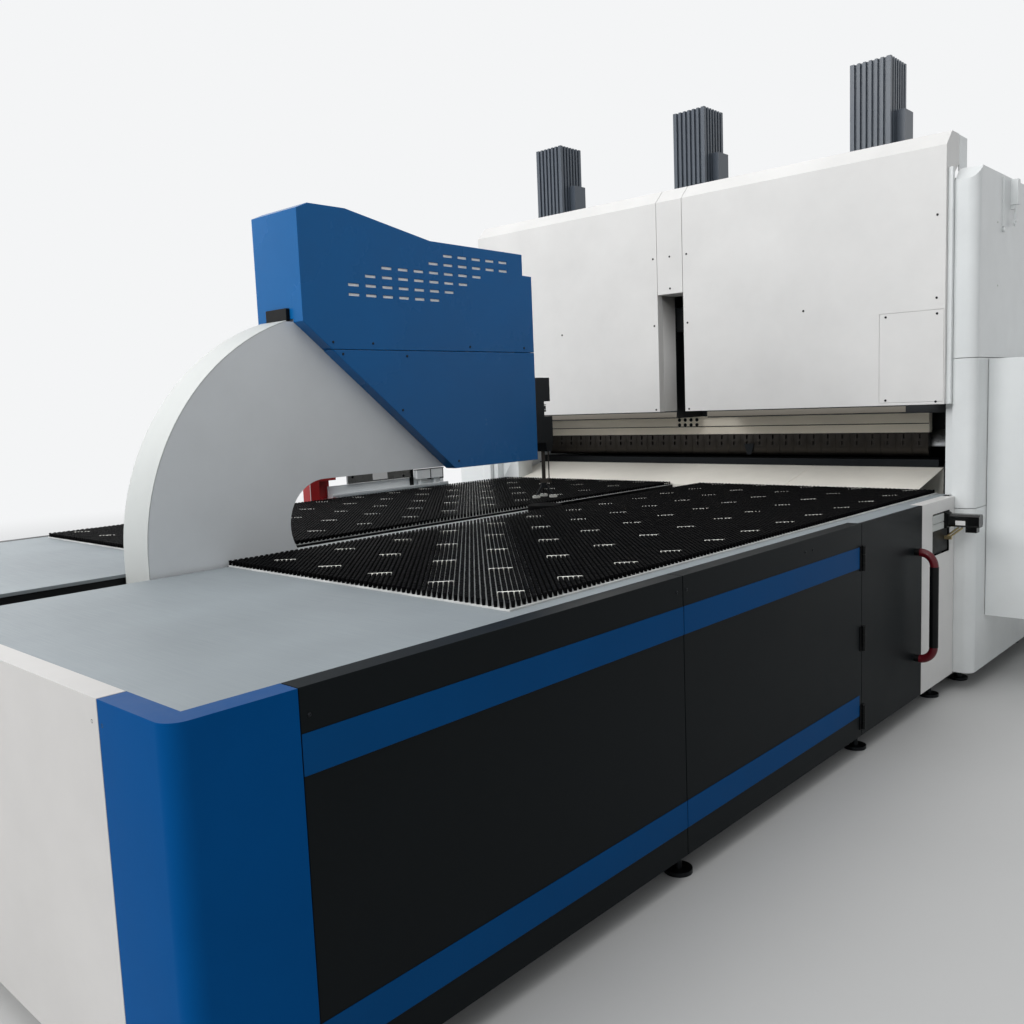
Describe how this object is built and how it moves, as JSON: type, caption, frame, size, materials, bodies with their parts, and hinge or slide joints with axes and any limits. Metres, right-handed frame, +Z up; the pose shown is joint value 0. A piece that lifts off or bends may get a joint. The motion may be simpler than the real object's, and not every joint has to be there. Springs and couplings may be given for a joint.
{
  "type": "panel bender",
  "caption": "Sheet-metal panel bender: brush table with a C-shaped feeding arm and clamp, and a host with a press beam, clamping tools and bending blades.",
  "frame": {"origin": "on the floor, under the centre of the machine's box", "axes": "+X to the right seen from the table's front, +Y from the table to the host, +Z up"},
  "size_m": [4.028, 6.2, 3.115],
  "materials": {
    "blue_paint": "semi-gloss",
    "anthracite_paint": "satin",
    "white_paint": "satin",
    "light_grey_paint": "semi-gloss",
    "arm_paint": "semi-gloss",
    "frame_paint": "satin",
    "red_paint": "semi-gloss",
    "stainless": "brushed",
    "tool_steel": "ground",
    "rail_paint": "satin",
    "blackened_steel": "blackened",
    "zinc_steel": "zinc plated",
    "brush_black": "bristle",
    "motor_alloy": "painted",
    "black_plastic": "satin",
    "dark_red_plastic": "semi-gloss",
    "brass": "satin"
  },
  "bodies": {
    "machine": {"table_frame": "frame_paint", "levelling_feet": "zinc_steel", "front_panel": "white_paint", "corner_posts": "blue_paint", "side_panel_front_left": "anthracite_paint", "side_panel_front_right": "anthracite_paint", "side_panel_rear_left": "anthracite_paint", "side_panel_rear_right": "anthracite_paint", "side_stripes": "blue_paint", "end_panel": "white_paint", "frame_hinge_leaves": "black_plastic", "hinge_pins": "tool_steel", "deck_plates": "stainless", "brush_deck_left": "brush_black", "brush_deck_right": "brush_black", "feed_bed": "frame_paint", "drive_gearbox": "light_grey_paint", "drive_motor": "black_plastic", "drive_rods": "brass", "guide_channel": "red_paint", "guide_bar": "light_grey_paint", "side_frames": "light_grey_paint", "host_base": "frame_paint", "column_cover_left": "light_grey_paint", "column_cover_right": "light_grey_paint", "side_cabinets": "light_grey_paint", "front_cover_left": "white_paint", "front_cover_centre": "white_paint", "front_cover_right": "white_paint", "hatch_cover": "white_paint", "crown_beam": "frame_paint", "drive_motors": "motor_alloy", "lower_tool": "blackened_steel", "apron_plates": "white_paint", "top_cover": "white_paint", "rear_cover": "white_paint"},
    "arm": {"arm_frame": "arm_paint", "arm_rim_strip": "arm_paint", "feed_carriages": "tool_steel", "head_cover_upper": "blue_paint", "head_cover_lower": "blue_paint", "head_connector": "black_plastic", "clamp_guide": "blackened_steel"},
    "clamp": {"clamp_rods": "tool_steel"},
    "clamp_foot": {"clamp_foot": "blackened_steel"},
    "disc": {"rotary_disc": "blackened_steel"},
    "feed_screw": {"feed_screw": "tool_steel"},
    "press": {"press_beam": "frame_paint", "tool_rails": "rail_paint", "upper_tools": "blackened_steel"},
    "screw_left": {"drive_screw_left": "tool_steel"},
    "screw_centre": {"drive_screw_centre": "tool_steel"},
    "screw_right": {"drive_screw_right": "tool_steel"},
    "blade_carriage": {"blade_carriage": "frame_paint"},
    "blades": {"blade_frame": "frame_paint", "bending_blades": "tool_steel"},
    "door": {"access_door": "anthracite_paint", "door_hinge_leaves": "black_plastic", "handle_ends": "dark_red_plastic", "handle_grip": "black_plastic"}
  },
  "joints": [
    {"name": "arm_feed", "type": "slide", "parent": "machine", "child": "arm", "axis": [0, 1, 0], "range_m": [-0.5, 1.1]},
    {"name": "feed_screw_spin", "type": "hinge", "parent": "machine", "child": "feed_screw", "pos_m": [0, 0, 0.372], "axis": [0, 1, 0], "continuous": true},
    {"name": "clamp_stroke", "type": "slide", "parent": "arm", "child": "clamp", "axis": [0, 0, 1], "range_m": [-0.034, 0.06]},
    {"name": "disc_spin", "type": "hinge", "parent": "arm", "child": "disc", "pos_m": [0, -0.285, 0.96], "axis": [0, 0, 1], "continuous": true},
    {"name": "foot_spin", "type": "hinge", "parent": "clamp", "child": "clamp_foot", "pos_m": [0, -0.285, 1.06], "axis": [0, 0, 1], "continuous": true},
    {"name": "press_stroke", "type": "slide", "parent": "machine", "child": "press", "axis": [0, 0, 1], "range_m": [0, 0.1]},
    {"name": "press_screw_left_spin", "type": "hinge", "parent": "machine", "child": "screw_left", "pos_m": [-1.06, 1.21, 2.2], "axis": [0, 0, 1], "continuous": true},
    {"name": "press_screw_centre_spin", "type": "hinge", "parent": "machine", "child": "screw_centre", "pos_m": [0, 1.21, 2.2], "axis": [0, 0, 1], "continuous": true},
    {"name": "press_screw_right_spin", "type": "hinge", "parent": "machine", "child": "screw_right", "pos_m": [1.06, 1.21, 2.2], "axis": [0, 0, 1], "continuous": true},
    {"name": "blade_advance", "type": "slide", "parent": "machine", "child": "blade_carriage", "axis": [0, 1, 0], "range_m": [-0.008, 0.02]},
    {"name": "blade_lift", "type": "slide", "parent": "blade_carriage", "child": "blades", "axis": [0, 0, 1], "range_m": [-0.05, 0.05]},
    {"name": "door_swing", "type": "hinge", "parent": "machine", "child": "door", "pos_m": [1.556, -0.1635, 0.5], "axis": [0, 0, -1], "range_deg": [0, 110]}
  ],
  "couplings": [
    {"joint": "feed_screw_spin", "follows": "arm_feed", "rad_per_m": 157.08},
    {"joint": "foot_spin", "follows": "disc_spin", "ratio": 1},
    {"joint": "press_screw_left_spin", "follows": "press_stroke", "rad_per_m": 314.16},
    {"joint": "press_screw_centre_spin", "follows": "press_stroke", "rad_per_m": 314.16},
    {"joint": "press_screw_right_spin", "follows": "press_stroke", "rad_per_m": 314.16}
  ]
}
